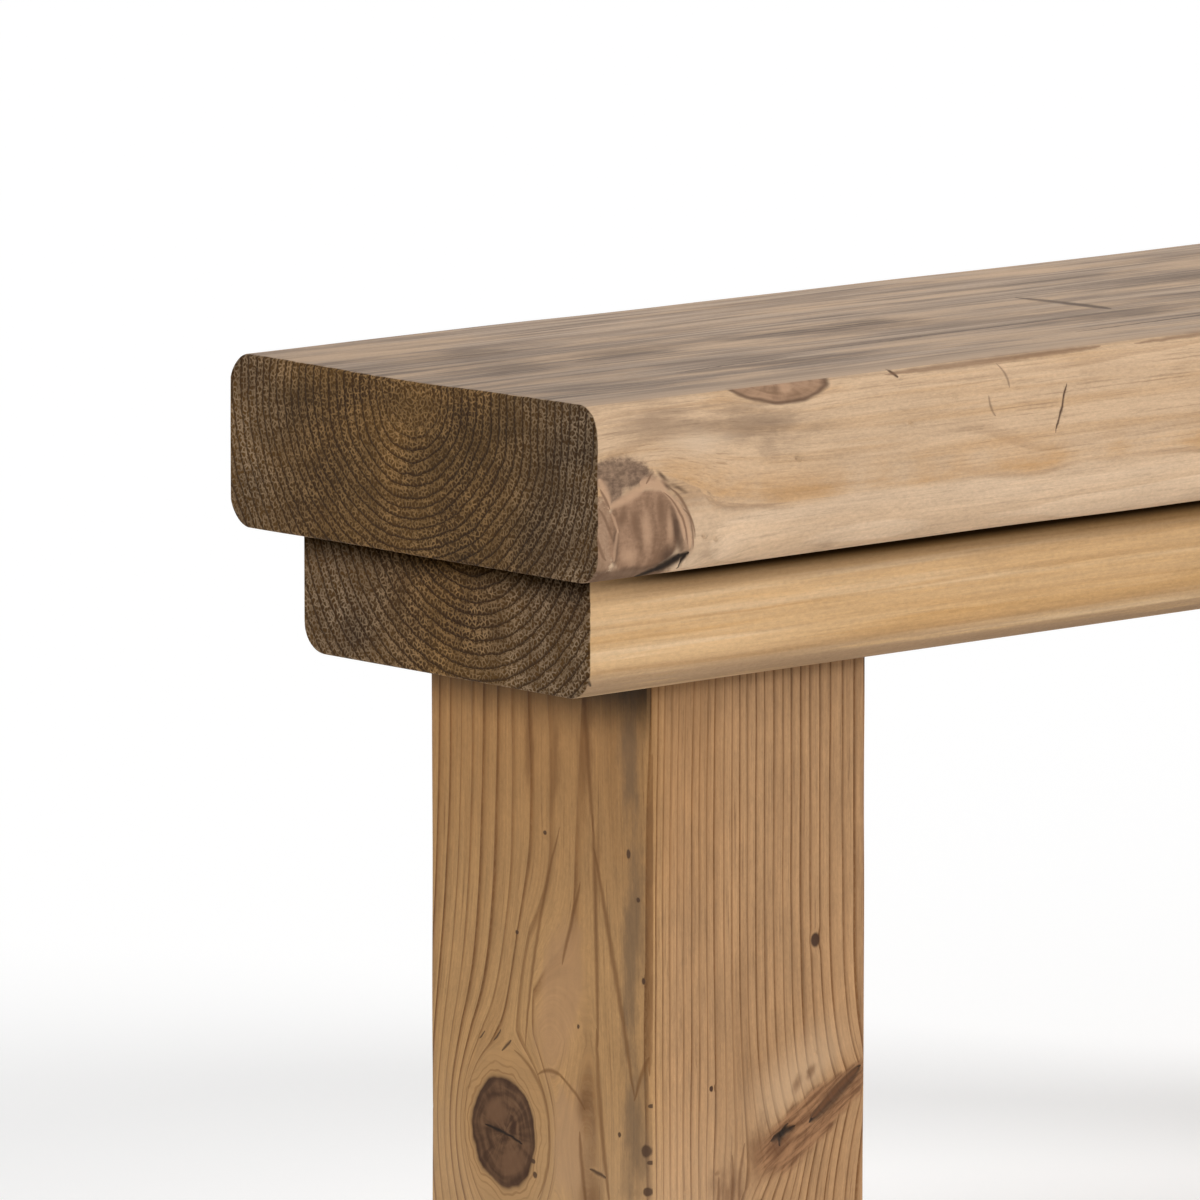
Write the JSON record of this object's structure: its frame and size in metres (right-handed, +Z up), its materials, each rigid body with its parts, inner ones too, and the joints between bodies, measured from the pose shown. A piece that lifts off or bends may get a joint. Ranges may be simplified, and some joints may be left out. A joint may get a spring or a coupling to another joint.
{
  "type": "wooden bench",
  "caption": "Rustic wooden bench: a thick round-edged seat beam on a narrower under beam, carried by a square-cut post leg near each end.",
  "frame": {"origin": "on the floor, under the middle of the seat beam", "axes": "+X along the bench, +Y across it from front to back, +Z up"},
  "size_m": [1.2, 0.225, 0.45],
  "materials": {
    "seat_wood": "planed softwood, weathered and oiled, with dark end grain",
    "under_wood": "planed softwood, oiled",
    "leg_wood": "sawn and sanded softwood with strong grain, oiled",
    "wedge_wood": "split hardwood, unfinished",
    "screw_steel": "zinc plated"
  },
  "bodies": {
    "root": {"seat_beam": "seat_wood", "under_beam": "under_wood", "left_leg": "leg_wood", "right_leg": "leg_wood", "left_leg_outer_wedge": "wedge_wood", "left_leg_inner_wedge": "wedge_wood", "right_leg_outer_wedge": "wedge_wood", "right_leg_inner_wedge": "wedge_wood", "seat_screws": "screw_steel", "seat_screw_washers": "screw_steel"}
  },
  "joints": []
}
